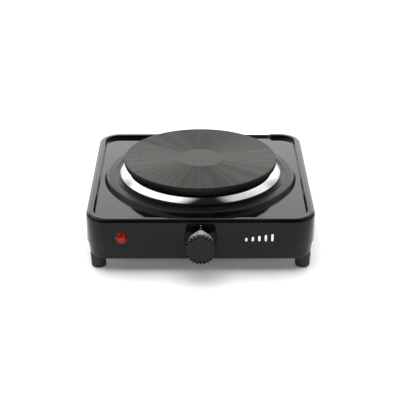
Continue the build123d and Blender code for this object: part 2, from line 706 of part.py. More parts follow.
def make_earth_screw():
    """A slotted screw that holds the tag down on the base pan; its shank ends at the pan's floor."""
    with BuildPart() as screw:
        disc(level(BASE_TOP, EARTH_X, EARTH_SCREW_Y), SCREW_R, EARTH_TAG_T)
        disc(level(BASE_TOP + EARTH_TAG_T, EARTH_X, EARTH_SCREW_Y), 3.4, 2.4)
        block(level(BASE_TOP + 2.4, EARTH_X, EARTH_SCREW_Y), 5.0, 0.9, 1.4, mode=Mode.SUBTRACT)
    return screw


def wire(points, radii):
    """A wire along straight runs joined by tangent arcs."""
    with BuildPart() as strand:
        with BuildLine() as route:
            FilletPolyline(*points, radius=radii)
        with BuildSketch(Plane(origin=points[0], z_dir=route.wires()[0] % 0)):
            Circle(WIRE_R)
        sweep()
    return strand


def make_live_wire():
    """From the terminal block, along the base, to the thermostat."""
    return wire([(33.5, 66.8, 23.0), (33.5, 40.0, 23.0), (20.0, 0.0, 22.0), (12.0, -50.0, 24.0),
                 (8.0, -60.0, 38.0), (8.0, -74.3, 38.0)], [12.0, 18.0, 5.0, 5.0])


def make_neutral_wire():
    """From the terminal block up to the heater's right pin."""
    return wire([(44.0, 66.8, 23.0), (44.0, 50.0, 26.0), (5.0, 42.0, 32.0), (5.0, HEATER_PIN_Y, 36.0),
                 (5.0, HEATER_PIN_Y, 40.9)], [8.0, 4.5, 2.0])


def make_heater_wire():
    """From the thermostat to the heater's left pin, past the thermal cut-off."""
    return wire([(-8.0, -74.3, 38.0), (-8.0, -62.0, 38.0), (-14.0, -40.0, 30.0), (-16.0, 30.0, 30.0),
                 (-5.0, HEATER_PIN_Y, 34.0), (-5.0, HEATER_PIN_Y, 40.9)], [5.0, 10.0, 12.0, 3.0])


def make_earth_wire():
    return wire([(54.5, 66.8, 23.0), (54.5, 56.0, 23.0), (66.0, 48.0, 24.0), (78.0, 56.0, 24.0),
                 (78.0, 70.0, 25.3)], [4.0, 6.0, 6.0])


def make_lamp_wires():
    """Two leads from the lamp's holder to the thermostat."""
    upper = wire([(LAMP_X, PANEL_Y + 19.0, 41.6), (LAMP_X, PANEL_Y + 26.0, 41.6), (-50.0, -66.0, 40.0),
                  (-15.0, -66.0, 40.0), (-15.0, -74.3, 40.0)], [3.0, 12.0, 3.5])
    lower = wire([(LAMP_X, PANEL_Y + 19.0, 37.6), (LAMP_X, PANEL_Y + 26.0, 37.6), (-50.0, -66.0, 34.0),
                  (-15.0, -66.0, 34.0), (-15.0, -74.3, 34.0)], [3.0, 12.0, 3.5])
    with BuildPart() as leads:
        add(upper.part)
        add(lower.part)
    return leads


# ---- cord inlet ---------------------------------------------------------------------
def make_cord_gland():
    """The bush that the supply cord would come in through."""
    axis_plane = Plane(origin=(GLAND_X, REAR_Y, GLAND_Z), x_dir=(0, 1, 0), z_dir=(1, 0, 0))
    outline = [
        (GLAND_OUT, GLAND_BORE_R), (GLAND_OUT, 6.2), (GLAND_OUT - 1.0, 6.8), (2.2, 7.6),
        (2.0, 9.0), (0, 9.0), (0, 6.0), (-GLAND_IN, 6.0), (-GLAND_IN, GLAND_BORE_R),
    ]
    with BuildPart() as gland:
        turned(axis_plane, outline, Axis((GLAND_X, REAR_Y, GLAND_Z), (0, 1, 0)))
    return gland


def make_gland_nut():
    with BuildPart() as nut:
        hexagon(rear(GLAND_X, GLAND_Z, -SHEET), 16.0, -4.0, 6.0 + GAP)
    return nut


MAKERS = {
    "top_housing": make_top_housing,
    "base_pan": make_base_pan,
    "corner_brackets": make_corner_brackets,
    "base_screws": make_base_screws,
    "foot_screws": make_foot_screws,
    "cast_iron_plate": make_cast_iron_plate,
    "trim_ring": make_trim_ring,
    "heating_coil": make_heating_coil,
    "coil_cement": make_coil_cement,
    "heater_cover": make_heater_cover,
    "heater_terminal": make_heater_terminal,
    "heater_pins": make_heater_pins,
    "plate_stud": make_plate_stud,
    "clamp_bridge": make_clamp_bridge,
    "heat_shield": make_heat_shield,
    "stud_washer": make_stud_washer,
    "stud_nut": make_stud_nut,
    "thermal_fuse": make_thermal_fuse,
    "fuse_clip": make_fuse_clip,
    "thermostat_bracket": make_thermostat_bracket,
    "thermostat_screws": make_thermostat_screws,
    "thermostat_posts": make_thermostat_posts,
    "thermostat_body": make_thermostat_body,
    "thermostat_shaft": make_thermostat_shaft,
    "cam_disc": make_cam_disc,
    "arm_pivot": make_arm_pivot,
    "contact_arm": make_contact_arm,
    "fixed_contact": make_fixed_contact,
    "control_knob": make_control_knob,
    "knob_clip": make_knob_clip,
    "dial_bezel": make_dial_bezel,
    "index_marks": make_index_marks,
    "heat_mark": make_heat_mark,
    "lamp_lens": make_lamp_lens,
    "lamp_clip": make_lamp_clip,
    "neon_bulb": make_neon_bulb,
    "lamp_holder": make_lamp_holder,
    "terminal_block": make_terminal_block,
    "terminal_screws": make_terminal_screws,
    "earth_tag": make_earth_tag,
    "earth_screw": make_earth_screw,
    "live_wire": make_live_wire,
    "neutral_wire": make_neutral_wire,
    "heater_wire": make_heater_wire,
    "earth_wire": make_earth_wire,
    "lamp_wires": make_lamp_wires,
    "cord_gland": make_cord_gland,
    "gland_nut": make_gland_nut,
}
FOOT_NAMES = ["foot_front_left", "foot_front_right", "foot_rear_left", "foot_rear_right"]

os.makedirs("parts", exist_ok=True)
for name, make in MAKERS.items():
    piece = make()
    piece.part.label = name
    export_step(piece.part, f"parts/{name}.step")
for name, (x, y) in zip(FOOT_NAMES, corners(FOOT_X, FOOT_Y)):
    piece = make_foot(x, y)
    piece.part.label = name
    export_step(piece.part, f"parts/{name}.step")
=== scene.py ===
import bmesh
import bpy
import json
import math
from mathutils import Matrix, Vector


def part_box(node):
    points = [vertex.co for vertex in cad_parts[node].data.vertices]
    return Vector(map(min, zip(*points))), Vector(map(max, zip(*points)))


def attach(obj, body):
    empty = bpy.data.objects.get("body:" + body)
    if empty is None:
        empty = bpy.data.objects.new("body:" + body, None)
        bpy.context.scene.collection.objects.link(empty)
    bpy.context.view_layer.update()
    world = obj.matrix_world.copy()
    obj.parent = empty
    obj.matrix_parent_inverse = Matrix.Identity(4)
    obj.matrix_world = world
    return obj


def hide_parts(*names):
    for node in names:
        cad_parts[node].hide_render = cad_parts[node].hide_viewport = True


# A single hot plate burner on a white table, in the CAD model's own frame.
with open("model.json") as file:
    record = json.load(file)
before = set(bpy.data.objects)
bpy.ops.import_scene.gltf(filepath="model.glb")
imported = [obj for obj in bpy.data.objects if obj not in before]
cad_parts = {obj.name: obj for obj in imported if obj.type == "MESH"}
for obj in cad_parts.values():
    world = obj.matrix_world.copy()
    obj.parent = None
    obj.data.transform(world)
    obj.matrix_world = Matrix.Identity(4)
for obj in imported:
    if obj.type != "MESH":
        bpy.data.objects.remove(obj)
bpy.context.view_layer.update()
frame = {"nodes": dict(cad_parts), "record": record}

# lengths below are in millimetres; Blender's are in metres
MM = 0.001
NODES = frame["nodes"]


def node_box(name):
    """A CAD node's lowest and highest corners, in millimetres."""
    low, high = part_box(name)
    return Vector(low) / MM, Vector(high) / MM


# ---- places taken from the CAD model ------------------------------------------------
HOUSING_LOW, HOUSING_HIGH = node_box("top_housing")
PLATE_LOW, PLATE_HIGH = node_box("cast_iron_plate")
RING_LOW, RING_HIGH = node_box("trim_ring")
KNOB_LOW, KNOB_HIGH = node_box("control_knob")
LENS_LOW, LENS_HIGH = node_box("lamp_lens")
CENTRE = (PLATE_LOW + PLATE_HIGH) / 2
SIDE = HOUSING_HIGH.x - HOUSING_LOW.x
PANEL_Y = HOUSING_LOW.y
PLATE_TOP = PLATE_HIGH.z
PLATE_R = (PLATE_HIGH.x - PLATE_LOW.x) / 2
RING_R = (RING_HIGH.x - RING_LOW.x) / 2
KNOB_R = (KNOB_HIGH.x - KNOB_LOW.x) / 2
KNOB_Z = KNOB_LOW.z + KNOB_R
KNOB_OUT = PANEL_Y - KNOB_LOW.y
LENS_R = (LENS_HIGH.x - LENS_LOW.x) / 2
LENS_X = (LENS_HIGH.x + LENS_LOW.x) / 2
LENS_Z = (LENS_HIGH.z + LENS_LOW.z) / 2
LENS_OUT = PANEL_Y - LENS_LOW.y
BEZEL_LOW, BEZEL_HIGH = node_box("dial_bezel")
BEZEL_R = (BEZEL_HIGH.x - BEZEL_LOW.x) / 2
BEZEL_T = PANEL_Y - BEZEL_LOW.y
GLAND_LOW, GLAND_HIGH = node_box("cord_gland")
GLAND_X = (GLAND_LOW.x + GLAND_HIGH.x) / 2
GLAND_Z = (GLAND_LOW.z + GLAND_HIGH.z) / 2

# the plate's face: the smooth dish's edge, and where the grooves begin
DISH_R = 23.0
GROOVES_FROM = 23.4
# the dull band round the ring ends between these radii
BAND_FADE = (94.4, 95.4)


# ---- material building --------------------------------------------------------------
class Shader:
    """A material's node tree, with short ways to add the usual nodes."""

    def __init__(self, name, color, roughness, **sockets):
        self.material = bpy.data.materials.new(name)
        self.material.use_nodes = True
        self.tree = self.material.node_tree
        self.bsdf = self.tree.nodes["Principled BSDF"]
        self.bsdf.inputs["Base Color"].default_value = (*color, 1)
        self.bsdf.inputs["Roughness"].default_value = roughness
        for socket, value in sockets.items():
            self.bsdf.inputs[socket.replace("_", " ")].default_value = value
        self.place = self.node("ShaderNodeTexCoord").outputs["Object"]
        self.bump = None

    def node(self, kind, **settings):
        made = self.tree.nodes.new(kind)
        for key, value in settings.items():
            setattr(made, key, value)
        return made

    def link(self, source, target):
        self.tree.links.new(source, target)

    def noise(self, scale, detail=3.0, roughness=0.5, stretch=None):
        """Noise over the object's own coordinates, scale in features per metre."""
        texture = self.node("ShaderNodeTexNoise")
        texture.inputs["Scale"].default_value = scale
        texture.inputs["Detail"].default_value = detail
        texture.inputs["Roughness"].default_value = roughness
        place = self.place
        if stretch:
            mapping = self.node("ShaderNodeMapping")
            mapping.inputs["Scale"].default_value = stretch
            self.link(self.place, mapping.inputs["Vector"])
            place = mapping.outputs["Vector"]
        self.link(place, texture.inputs["Vector"])
        return texture.outputs["Fac"]

    def remap(self, value, low, high, start=0.3, end=0.7):
        """A value from start..end moved to low..high."""
        ramp = self.node("ShaderNodeMapRange")
        ramp.inputs["From Min"].default_value = start
        ramp.inputs["From Max"].default_value = end
        ramp.inputs["To Min"].default_value = low
        ramp.inputs["To Max"].default_value = high
        self.link(value, ramp.inputs["Value"])
        return ramp.outputs["Result"]

    def times(self, first, second):
        product = self.node("ShaderNodeMath", operation="MULTIPLY")
        self.link(first, product.inputs[0])
        self.link(second, product.inputs[1])
        return product.outputs["Value"]

    def two_tones(self, value, dark, light):
        """Base colour between two tones, by a 0..1 value."""
        mix = self.node("ShaderNodeMix", data_type="RGBA")
        mix.inputs["A"].default_value = (*dark, 1)
        mix.inputs["B"].default_value = (*light, 1)
        self.link(value, mix.inputs["Factor"])
        self.link(mix.outputs["Result"], self.bsdf.inputs["Base Color"])

    def vary_roughness(self, value, low, high):
        self.link(self.remap(value, low, high), self.bsdf.inputs["Roughness"])

    def add_bump(self, value, height, strength=1.0):
        """Relief of a given height in metres, on top of any earlier relief."""
        bump = self.node("ShaderNodeBump")
        bump.inputs["Strength"].default_value = strength
        bump.inputs["Distance"].default_value = height
        self.link(value, bump.inputs["Height"])
        if self.bump:
            self.link(self.bump, bump.inputs["Normal"])
        self.bump = bump.outputs["Normal"]
        self.link(self.bump, self.bsdf.inputs["Normal"])


def from_axis(shader):
    """How far a point is from the plate's axis, in metres."""
    offset = shader.node("ShaderNodeVectorMath", operation="SUBTRACT")
    offset.inputs[1].default_value = MM * Vector((CENTRE.x, CENTRE.y, 0))
    shader.link(shader.place, offset.inputs[0])
    level = shader.node("ShaderNodeVectorMath", operation="MULTIPLY")
    level.inputs[1].default_value = (1, 1, 0)
    shader.link(offset.outputs["Vector"], level.inputs[0])
    radius = shader.node("ShaderNodeVectorMath", operation="LENGTH")
    shader.link(level.outputs["Vector"], radius.inputs[0])
    return radius.outputs["Value"], level.outputs["Vector"]


def satin_band(shader, gloss):
    """The even band round the ring is duller than the rest of the housing."""
    radius, _ = from_axis(shader)
    band = shader.remap(radius, 1, 0, BAND_FADE[0] * MM, BAND_FADE[1] * MM)
    satin = shader.remap(shader.noise(300, detail=4), 0.34, 0.44)
    mix = shader.node("ShaderNodeMix")
    shader.link(band, mix.inputs["Factor"])
    shader.link(gloss, mix.inputs["A"])
    shader.link(satin, mix.inputs["B"])
    shader.link(mix.outputs["Result"], shader.bsdf.inputs["Roughness"])


def enamel(name, color, roughness, peel, banded=False):
    """Stoved black enamel: glossy, with a faint orange peel and fine dust."""
    shader = Shader(name, color, roughness, IOR=1.28)
    shader.two_tones(shader.remap(shader.noise(60), 0, 1), color, [c * 1.5 + 0.001 for c in color])
    gloss = shader.remap(shader.noise(140, detail=5), roughness * 0.8, roughness * 1.35)
    shader.link(gloss, shader.bsdf.inputs["Roughness"])
    if banded:
        satin_band(shader, gloss)
    shader.add_bump(shader.noise(420, detail=2), peel)
    return shader.material


def metal(name, color, roughness, stretch=None, relief=0.00002):
    """Plain metal with fine rolling or plating marks."""
    shader = Shader(name, color, roughness, Metallic=1.0)
    grain = shader.noise(900, detail=4, stretch=stretch)
    shader.two_tones(shader.remap(grain, 0, 1), [c * 0.86 for c in color], color)
    shader.vary_roughness(grain, roughness * 0.8, roughness * 1.3)
    shader.add_bump(grain, relief, 0.6)
    return shader.material


def plastic(name, color, roughness, grain=900.0, relief=0.00003, ior=1.42):
    """Moulded plastic with a fine surface grain."""
    shader = Shader(name, color, roughness, IOR=ior)
    dark, light = [c * 0.8 for c in color], [c * 1.15 for c in color]
    shader.two_tones(shader.remap(shader.noise(150), 0, 1), dark, light)
    shader.vary_roughness(shader.noise(300, detail=4), roughness * 0.85, roughness * 1.2)
    shader.add_bump(shader.noise(grain, detail=3), relief, 0.5)
    return shader.material


def turned_rings_and_fan_sheen(shader):
    """How the iron's tone is scaled: ring-to-ring tone over the turned face, times fan-shaped streaks of
    painted sheen that stand in for the turned grooves' reflection; the dish in the middle is even.
    """
    radius, level = from_axis(shader)
    bearing = shader.node("ShaderNodeVectorMath", operation="NORMALIZE")
    shader.link(level, bearing.inputs[0])
    # painted sheen: lighter and darker fans by bearing round the axis, standing in for the light the
    # turned grooves reflect
    fan_sheen = shader.node("ShaderNodeTexNoise")
    fan_sheen.inputs["Scale"].default_value = 16.0
    fan_sheen.inputs["Detail"].default_value = 2.0
    shader.link(bearing.outputs["Vector"], fan_sheen.inputs["Vector"])
    rings = shader.node("ShaderNodeTexNoise", noise_dimensions="1D")
    rings.inputs["Scale"].default_value = 420.0
    shader.link(radius, rings.inputs["W"])
    turned = shader.remap(radius, 0, 1, DISH_R * MM, GROOVES_FROM * MM)
    fan_sheen_tone = shader.remap(fan_sheen.outputs["Fac"], 0.45, 1.2)
    ring_tone = shader.remap(rings.outputs["Fac"], 0.75, 1.1)
    # marks here holds the ring-to-ring tone times the painted fan sheen
    marks = shader.times(fan_sheen_tone, ring_tone)
    blend = shader.node("ShaderNodeMix")
    shader.link(turned, blend.inputs["Factor"])
    dish_tone = 0.8
    blend.inputs["A"].default_value = dish_tone
    shader.link(marks, blend.inputs["B"])
    return blend.outputs["Result"]


def cast_iron(name, face, edge, roughness, top):
    """Turned grey iron on top of the plate; its unmachined side is nearly black."""
    edge_tint = (0.66, 0.66, 0.66, 1)
    shader = Shader(name, face, roughness, Metallic=0.85, Specular_Tint=edge_tint)
    height = shader.node("ShaderNodeSeparateXYZ")
    shader.link(shader.place, height.inputs["Vector"])
    machined = shader.remap(height.outputs["Z"], 0, 1, (top - 1.0) * MM, (top - 0.5) * MM)
    mottle = shader.remap(shader.noise(240, detail=5), 0.9, 1.0)
    # the painted fan sheen and the ring tone scale the colour of the machined top only
    tone = shader.times(machined, shader.times(mottle, turned_rings_and_fan_sheen(shader)))
    shader.two_tones(tone, edge, face)
    shader.vary_roughness(shader.noise(600, detail=4), roughness * 0.88, roughness * 1.15)
    shader.add_bump(shader.noise(1500, detail=3), 0.00002, 0.5)
    return shader.material


def lens_plastic(name, dark, light):
    """Clear red plastic over moulded facets; each facet's red is painted lighter or darker, a painted
    glint standing in for the facets catching the light unevenly, and a bump gives them relief.
    """
    shader = Shader(name, light, 0.1, IOR=1.35)
    facets = shader.node("ShaderNodeTexVoronoi")
    facets.inputs["Scale"].default_value = 420.0
    shader.link(shader.place, facets.inputs["Vector"])
    tone = shader.node("ShaderNodeSeparateColor")
    shader.link(facets.outputs["Color"], tone.inputs["Color"])
    # painted glint: each facet's red is lighter or darker at random, standing in for how the facets catch
    # the light
    shader.two_tones(shader.remap(tone.outputs["Red"], 0, 1, 0.1, 0.9), dark, light)
    shader.add_bump(facets.outputs["Distance"], 0.00004, 0.2)
    return shader.material


MATERIALS = {
    "black_enamel": enamel("black_enamel", (0.0016, 0.0015, 0.0014), 0.06, 0.000003, banded=True),
    "pan_enamel": enamel("pan_enamel", (0.0036, 0.0035, 0.0034), 0.16, 0.000006),
    "cast_iron": cast_iron(
        "cast_iron", (0.066, 0.0635, 0.0585), (0.020, 0.019, 0.0175), 0.42, PLATE_TOP),
    "chrome": metal("chrome", (0.84, 0.84, 0.845), 0.07, relief=0.000006),
    "zinc_steel": metal("zinc_steel", (0.55, 0.56, 0.58), 0.35),
    "bright_sheet": metal("bright_sheet", (0.72, 0.73, 0.74), 0.3, stretch=(1, 12, 1)),
    "brass": metal("brass", (0.72, 0.53, 0.24), 0.3),
    "spring_steel": metal("spring_steel", (0.36, 0.37, 0.4), 0.28),
    "steatite": plastic("steatite", (0.72, 0.69, 0.62), 0.7),
    "knob_plastic": plastic("knob_plastic", (0.0044, 0.0043, 0.0042), 0.3, ior=1.29),
    # the pointer's mid grey is partly the moulding's own grey and partly painted sheen, standing in for
    # the light its upward-facing top catches
    "pointer_grey_and_sheen": plastic("pointer_grey_and_sheen", (0.25, 0.246, 0.238), 0.38),
    "bezel_plastic": plastic(
        "bezel_plastic", (0.0015, 0.0014, 0.0014), 0.1, relief=0.000005, ior=1.2),
    "dim_print": plastic("dim_print", (0.2, 0.2, 0.2), 0.5),
    "inner_plastic": plastic("inner_plastic", (0.5, 0.49, 0.45), 0.5),
    "gland_plastic": plastic("gland_plastic", (0.014, 0.014, 0.015), 0.45),
    "light_print": plastic("light_print", (0.74, 0.74, 0.75), 0.5),
    "red_lens": lens_plastic("red_lens", (0.024, 0.002, 0.002), (0.27, 0.006, 0.005)),
    "lamp_glass": plastic("lamp_glass", (0.85, 0.7, 0.55), 0.1),
    "rubber": plastic("rubber", (0.012, 0.012, 0.012), 0.6, relief=0.00006),
    "live_insulation": plastic("live_insulation", (0.22, 0.09, 0.04), 0.5),
    "neutral_insulation": plastic("neutral_insulation", (0.04, 0.1, 0.32), 0.5),
    "earth_insulation": plastic("earth_insulation", (0.2, 0.4, 0.06), 0.5),
}


def paint_nodes():
    """Every CAD node gets the material of its record slot."""
    for subpart in frame["record"]["subparts"]:
        node = NODES[subpart["node"]]
        node.data.materials.clear()
        node.data.materials.append(MATERIALS[subpart["material_slot"]])


paint_nodes()
NODES["index_marks"].data.materials[0] = MATERIALS["dim_print"]


# ---- mesh building ------------------------------------------------------------------
def upright(radius, height, angle):
    """A point round the plate's vertical axis."""
    return MM * Vector((CENTRE.x + radius * math.cos(angle), CENTRE.y + radius * math.sin(angle), height))


def on_panel(x, z):
    """Points round an axis that stands out of the front panel at x, z."""
    def place(radius, out, angle):
        return MM * Vector((x + radius * math.sin(angle), PANEL_Y - out, z + radius * math.cos(angle)))
    return place


def bend(start, control, end, steps=8):
    """A smooth curve from start to end, without its last point."""
    points = []
    for i in range(steps):
        t = i / steps
        weights = ((1 - t) ** 2, 2 * t * (1 - t), t * t)
        points.append(tuple(sum(w * p[k] for w, p in zip(weights, (start, control, end))) for k in (0, 1)))
    return points


def skin(rings, closed):
    """A mesh over a stack of rings; a ring of one point is a pole."""
    bm = bmesh.new()
    loops = [[bm.verts.new(point) for point in ring] for ring in rings]
    turns = max(len(loop) for loop in loops)
    pairs = list(zip(loops, loops[1:]))
    if closed:
        pairs.append((loops[-1], loops[0]))
    for lower, upper in pairs:
        for k in range(turns):
            m = (k + 1) % turns
            if len(lower) == 1:
                bm.faces.new((lower[0], upper[k], upper[m]))
            elif len(upper) == 1:
                bm.faces.new((lower[k], lower[m], upper[0]))
            else:
                bm.faces.new((lower[k], lower[m], upper[m], upper[k]))
    bmesh.ops.recalc_face_normals(bm, faces=bm.faces)
    return bm


def lathe(profile, place, turns=192):
    """Turns a (radius, height) outline round an axis; an outline off the axis is closed up."""
    rings = []
    for radius, height in profile:
        if radius == 0:
            rings.append([place(0, height, 0)])
        else:
            rings.append([place(radius, height, 2 * math.pi * k / turns) for k in range(turns)])
    return skin(rings, closed=profile[0][0] > 0)


def finish_piece(name, bm, slot, body, node, crease=40):
    """Puts a mesh in the scene, on its body, in place of a CAD node."""
    mesh = bpy.data.meshes.new(name)
    bm.to_mesh(mesh)
    bm.free()
    mesh.shade_smooth()
    mesh.set_sharp_from_angle(angle=math.radians(crease))
    mesh.materials.append(MATERIALS[slot])
    piece = bpy.data.objects.new(name, mesh)
    bpy.context.collection.objects.link(piece)
    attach(piece, body)
    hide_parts(node)
    return piece


# ---- hot plate ----------------------------------------------------------------------
def make_plate():
    """The cast-iron plate with its turned grooves and smooth dished centre."""
    grooves_to = PLATE_R - 1.2
    count = 44
    pitch = (grooves_to - GROOVES_FROM) / count
    depth = 0.16
    dish = 0.3
    profile = [(radius, PLATE_TOP - dish) for radius in (0, 21.6, 22.2)]
    profile.append((22.9, PLATE_TOP - 0.08))
    for i in range(count):
        start = GROOVES_FROM + i * pitch
        for step, drop in ((0, 0), (0.3, 0.15), (0.5, 1), (0.75, 0.8)):
            profile.append((start + step * pitch, PLATE_TOP - drop * depth))
    edge = PLATE_R
    underside = PLATE_TOP - 5.8
    profile += bend((grooves_to, PLATE_TOP), (edge, PLATE_TOP), (edge, PLATE_TOP - 1.1), 5)
    profile += bend((edge, underside + 0.6), (edge, underside), (edge - 0.6, underside), 3)
    foot, channel, stud_hole = PLATE_LOW.z, 68.0, 72.0
    profile += [(edge - 0.6, underside), (74.2, underside), (74.2, foot), (66.0, foot),
                (66.0, channel), (46.0, channel), (46.0, foot), (42.0, foot), (42.0, channel),
                (22.0, channel), (22.0, foot), (3.0, foot), (3.0, stud_hole), (0, stud_hole)]
    finish_piece("turned_plate", lathe(profile, upright), "cast_iron", "housing", "cast_iron_plate", 60)


def make_ring():
    """The chromed ring, rolled over at its lip."""
    foot = RING_LOW.z
    top = RING_HIGH.z
    lip = RING_R - 0.06
    profile = bend((74.9, top), (79.25, top - 2.55), (lip, foot + 3.1), 14)
    profile += bend((lip, foot + 3.1), (lip, foot + 2.0), (lip - 0.6, foot + 2.0), 4)
    profile += [(lip - 0.6, foot + 2.0), (81.0, foot), (79.8, foot)]
    profile += bend((79.9, foot + 3.5), (78.15, foot + 5.0), (74.9, top - 1.1), 10)
    profile.append((74.9, top - 1.1))
    finish_piece("chrome_ring", lathe(profile, upright, 256), "chrome", "housing", "trim_ring")


make_plate()
make_ring()


# ---- housing ------------------------------------------------------------------------
SKIRT_Z = HOUSING_LOW.z
RIM_Z = 58.5
DECK_Z = 55.0
SEAT_Z = 58.8
CORNER_R = 22.5
ROLL_R = 3.6
RIM_FOOT = 8.3
DIP_Z = 57.4
DIP_FROM, DIP_TO = 36.0, 79.0


def ease(value, start, end):
    """A smooth step from 0 at start to 1 at end."""
    t = min(1.0, max(0.0, (value - start) / (end - start)))
    return t * t * (3 - 2 * t)


def dip_height(inset):
    """The rear edge's height along the dip, at a distance in from the side."""
    if inset >= ROLL_R:
        return DIP_Z - (DIP_Z - DECK_Z) * min(1.0, (inset - ROLL_R) / (RIM_FOOT - ROLL_R))
    return DIP_Z - ROLL_R + math.sqrt(ROLL_R ** 2 - (ROLL_R - max(0.0, inset)) ** 2)


def square_ring(inset, z, under=0.0):
    """A ring round the housing, inset from its sides; the rear edge is lowered along the dip."""
    half = SIDE / 2 - inset
    corner = max(CORNER_R - inset, 6.0)
    per_corner, per_side = 16, 64
    points = []
    for quarter in range(4):
        turn = quarter * math.pi / 2
        spots = [(half, (corner - half) + 2 * (half - corner) * k / per_side) for k in range(per_side)]
        for k in range(per_corner):
            angle = math.pi / 2 * k / per_corner
            straight = half - corner
            spots.append((straight + corner * math.cos(angle), straight + corner * math.sin(angle)))
        for u, v in spots:
            x = u * math.cos(turn) - v * math.sin(turn)
            y = u * math.sin(turn) + v * math.cos(turn)
            height = z
            if y > half - 0.01 and z > DECK_Z - 2:
                along = ease(x, DIP_FROM - 1, DIP_FROM + 2) * (1 - ease(x, DIP_TO - 2, DIP_TO + 1))
                height = z + (min(z, dip_height(inset - under) - under) - z) * along
            points.append(MM * Vector((CENTRE.x + x, CENTRE.y + y, height)))
    return points


def round_ring(radius, z):
    """A circle with its points on the same bearings as the square rings'."""
    points = []
    for point in square_ring(RIM_FOOT, DECK_Z):
        bearing = math.atan2(point.y / MM - CENTRE.y, point.x / MM - CENTRE.x)
        points.append(upright(radius, z, bearing))
    return points


def bore(piece, x, z, y, radius):
    """Cuts a round hole through the front or rear panel."""
    bm = bmesh.new()
    size = radius * MM
    bmesh.ops.create_cone(bm, cap_ends=True, segments=48, radius1=size, radius2=size, depth=6 * MM)
    mesh = bpy.data.meshes.new("cutter")
    bm.to_mesh(mesh)
    bm.free()
    cutter = bpy.data.objects.new("cutter", mesh)
    cutter.location = MM * Vector((x, y, z))
    cutter.rotation_euler.x = math.pi / 2
    bpy.context.collection.objects.link(cutter)
    cut = piece.modifiers.new("bore", "BOOLEAN")
    cut.object = cutter
    cut.solver = "EXACT"
    bpy.context.view_layer.objects.active = piece
    bpy.ops.object.modifier_apply(modifier=cut.name)
    bpy.data.objects.remove(cutter)


def make_housing():
    """The pressed-steel top: skirt, rolled rim, deck, crowned bead and the seat of the ring."""
    rim = [(0, SKIRT_Z + 0.5), (0, RIM_Z - ROLL_R - 0.6)]
    for k in range(9):
        angle = math.pi / 2 * k / 8
        rim.append((ROLL_R - ROLL_R * math.cos(angle), RIM_Z - ROLL_R + ROLL_R * math.sin(angle)))
    rim += [(ROLL_R + 0.5, RIM_Z), (5.7, RIM_Z)]
    rim += bend((6.0, RIM_Z), (6.9, RIM_Z), (7.25, RIM_Z - 0.9), 5)
    rim += [(7.25, RIM_Z - 0.9), (7.8, DECK_Z + 1.2)]
    rim += bend((7.95, DECK_Z + 0.8), (RIM_FOOT, DECK_Z), (9.1, DECK_Z), 4)
    rim += [(9.1, DECK_Z), (9.6, DECK_Z)]
    bead = [(99.7, DECK_Z), (99.2, DECK_Z)]
    bead += bend((98.9, DECK_Z), (98.4, DECK_Z), (98.0, DECK_Z + 0.7), 4)
    bead += [(98.0, DECK_Z + 0.7), (96.9, 57.2)]
    bead += bend((96.4, 57.8), (95.6, 59.1), (94.2, 59.24), 7)
    bead += [(94.2, 59.24), (93.6, 59.28), (88.8, 59.56)]
    bead += bend((88.3, 59.58), (87.6, 59.6), (86.9, 59.3), 4)
    bead += bend((86.2, 59.1), (85.3, SEAT_Z), (84.6, SEAT_Z), 4)
    bead += [(84.6, SEAT_Z), (84.0, SEAT_Z), (72.4, SEAT_Z), (72.0, 58.5)]
    under = [(72.0, 57.8), (84.8, 57.8), (88.4, 58.5), (93.6, 58.2), (95.6, 57.4),
             (97.8, 54.0), (100.2, 54.0)]
    inside = [(9.3, 54.0), (7.4, 55.0), (6.4, 57.5), (3.6, 57.5), (1.9, 56.7),
              (1.0, 54.9), (1.0, SKIRT_Z + 0.2)]
    rings = [square_ring(0.25, SKIRT_Z)]
    rings += [square_ring(inset, z) for inset, z in rim]
    rings += [round_ring(radius, z) for radius, z in bead + under]
    rings += [square_ring(inset, z, 1.0) for inset, z in inside]
    rings.append(square_ring(0.8, SKIRT_Z))
    shell = skin(rings, closed=True)
    piece = finish_piece("pressed_top", shell, "black_enamel", "housing", "top_housing", 40)
    shaft, screws, lamp = (0, KNOB_Z, 5.1), (10, KNOB_Z, 1.85), (LENS_X, LENS_Z, 4.7)
    for x, z, radius in (shaft, (-screws[0], *screws[1:]), screws, lamp):
        bore(piece, x, z, PANEL_Y, radius)
    bore(piece, GLAND_X, GLAND_Z, HOUSING_HIGH.y, 6.1)


make_housing()


# ---- knob, bezel and lamp -----------------------------------------------------------
def make_grip():
    """The fluted grip: rounded ridges between narrow slots, and a shallow sunk face."""
    flutes, per_flute = 24, 12
    turns = flutes * per_flute
    back, face = KNOB_OUT - 7.5, KNOB_OUT
    place = on_panel(0, KNOB_Z)

    def ring(out, radius, depth):
        points = []
        for k in range(turns):
            across = abs((k / per_flute + 0.5) % 1 - 0.5) * 2
            slot = ease(across, 0.35, 0.85)
            points.append(place(radius - depth * slot, out, 2 * math.pi * k / turns))
        return points

    rings = [[place(0, back, 0)], ring(back, 8.0, 0.0), ring(back, KNOB_R - 2.2, 0.0)]
    for out, inset, depth in ((0.0, 0.5, 1.5), (0.4, 0.15, 1.8), (1.0, 0.0, 1.9), (4.0, 0.0, 1.9),
                              (6.6, 0.0, 1.9), (7.1, 0.15, 1.7), (7.4, 0.5, 1.3), (7.5, 1.0, 0.8)):
        rings.append(ring(back + out, KNOB_R - inset, depth))
    for radius, sunk in ((12.3, 0.0), (11.9, 0.08), (11.6, 0.35), (11.0, 0.42), (6.0, 0.45)):
        rings.append(ring(face - sunk, radius, 0.0))
    rings.append([place(0, face - 0.45, 0)])
    finish_piece("knob_grip", skin(rings, closed=False), "knob_plastic", "knob", "control_knob", 50)


